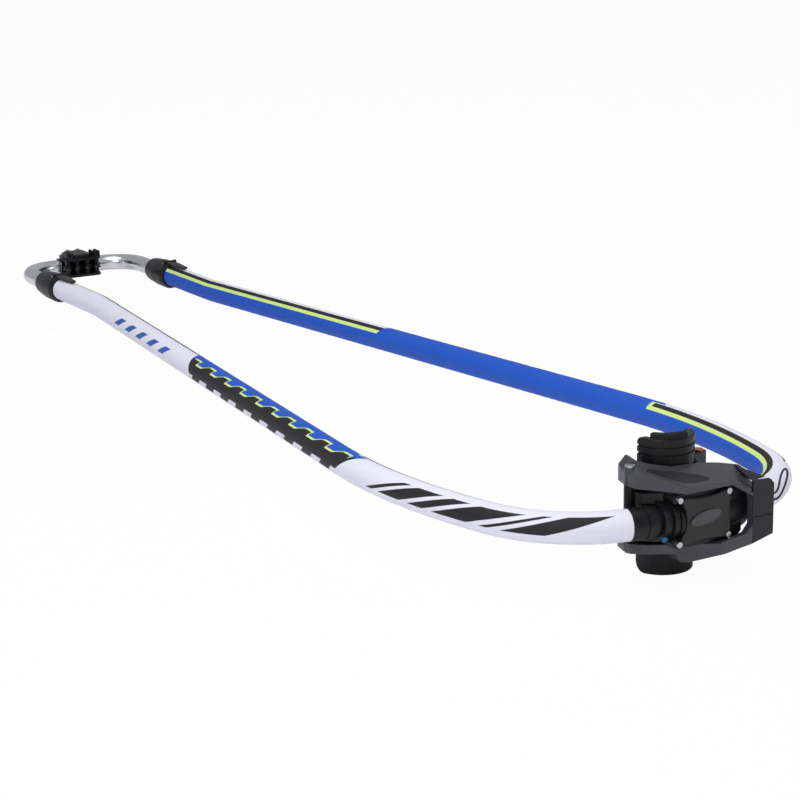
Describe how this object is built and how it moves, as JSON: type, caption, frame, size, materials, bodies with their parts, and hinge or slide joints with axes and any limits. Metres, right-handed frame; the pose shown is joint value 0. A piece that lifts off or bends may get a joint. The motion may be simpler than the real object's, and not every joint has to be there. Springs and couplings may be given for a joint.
{
  "type": "windsurfing boom",
  "caption": "Windsurfing wishbone boom with foam-covered arms, a lever clamp for the mast, and a telescopic tail with sheaves and cleats.",
  "frame": {"origin": "on the mast axis, in the plane of the boom tubes", "axes": "+Z along the mast, +Y from the mast to the tail, +X to the starboard arm"},
  "size_m": [0.444, 1.6766, 0.151],
  "materials": {
    "alu": "polished",
    "grip": "moulded printed foam",
    "nylon": "glass-filled, fine grain",
    "nylon_grey": "moulded, satin",
    "rubber": "matt",
    "steel": "plated",
    "brass": "plain",
    "cord": "braided",
    "blue": "moulded"
  },
  "bodies": {
    "frame": {"front_tube": "alu", "left_grip": "grip", "right_grip": "grip", "left_sleeve": "nylon", "right_sleeve": "nylon", "left_collar": "nylon", "right_collar": "nylon", "left_clip_pin": "steel", "right_clip_pin": "steel", "head_liner": "rubber"},
    "head": {"head_body": "nylon", "front_cover": "nylon_grey", "cover_badge": "nylon_grey", "cover_screws": "steel", "mast_saddle": "nylon", "saddle_screws": "steel", "saddle_pad": "rubber", "saddle_stop": "rubber", "jaw_pin": "brass", "lever_pin": "steel", "toothed_strap": "nylon", "barrel_plug": "blue"},
    "jaw": {"jaw": "nylon", "jaw_pad": "rubber"},
    "lever": {"lever": "nylon_grey", "handle_grip": "nylon", "pull_cord": "cord"},
    "left_clip": {"left_clip": "nylon"},
    "right_clip": {"right_clip": "nylon"},
    "tail": {"tail_tube": "alu", "left_leg_bush": "nylon", "right_leg_bush": "nylon", "tail_fitting": "nylon", "tail_cover": "nylon", "tail_screws": "steel", "left_cleat": "nylon", "right_cleat": "nylon", "sheave_pins": "steel"},
    "sheave_1": {"sheave_1": "nylon"},
    "sheave_2": {"sheave_2": "nylon"},
    "sheave_3": {"sheave_3": "nylon"},
    "sheave_4": {"sheave_4": "nylon"}
  },
  "joints": [
    {"name": "head_tilt", "type": "hinge", "parent": "frame", "child": "head", "pos_m": [0, -0.048, 0], "axis": [1, 0, 0], "range_deg": [-25, 25]},
    {"name": "lever_swing", "type": "hinge", "parent": "head", "child": "lever", "pos_m": [-0.056, -0.02, 0], "axis": [0, 0, 1], "range_deg": [-100, 0]},
    {"name": "jaw_swing", "type": "hinge", "parent": "head", "child": "jaw", "pos_m": [0.043, -0.004, 0], "axis": [0, 0, 1], "range_deg": [-75, 0]},
    {"name": "tail_slide", "type": "slide", "parent": "frame", "child": "tail", "axis": [0, 1, 0], "range_m": [0, 0.1]},
    {"name": "left_clip_lift", "type": "hinge", "parent": "frame", "child": "left_clip", "pos_m": [-0.09473, 1.40959, 0.0199], "axis": [1, 0, 0], "range_deg": [-70, 0]},
    {"name": "right_clip_lift", "type": "hinge", "parent": "frame", "child": "right_clip", "pos_m": [0.09473, 1.40959, 0.0199], "axis": [1, 0, 0], "range_deg": [-70, 0]},
    {"name": "sheave_1_turn", "type": "hinge", "parent": "tail", "child": "sheave_1", "pos_m": [-0.025, 1.54559, 0], "axis": [0, 0, 1], "continuous": true},
    {"name": "sheave_2_turn", "type": "hinge", "parent": "tail", "child": "sheave_2", "pos_m": [-0.009, 1.54559, 0], "axis": [0, 0, 1], "continuous": true},
    {"name": "sheave_3_turn", "type": "hinge", "parent": "tail", "child": "sheave_3", "pos_m": [0.009, 1.54559, 0], "axis": [0, 0, 1], "continuous": true},
    {"name": "sheave_4_turn", "type": "hinge", "parent": "tail", "child": "sheave_4", "pos_m": [0.025, 1.54559, 0], "axis": [0, 0, 1], "continuous": true}
  ],
  "couplings": [
    {"joint": "jaw_swing", "follows": "lever_swing", "ratio": 0.75}
  ]
}
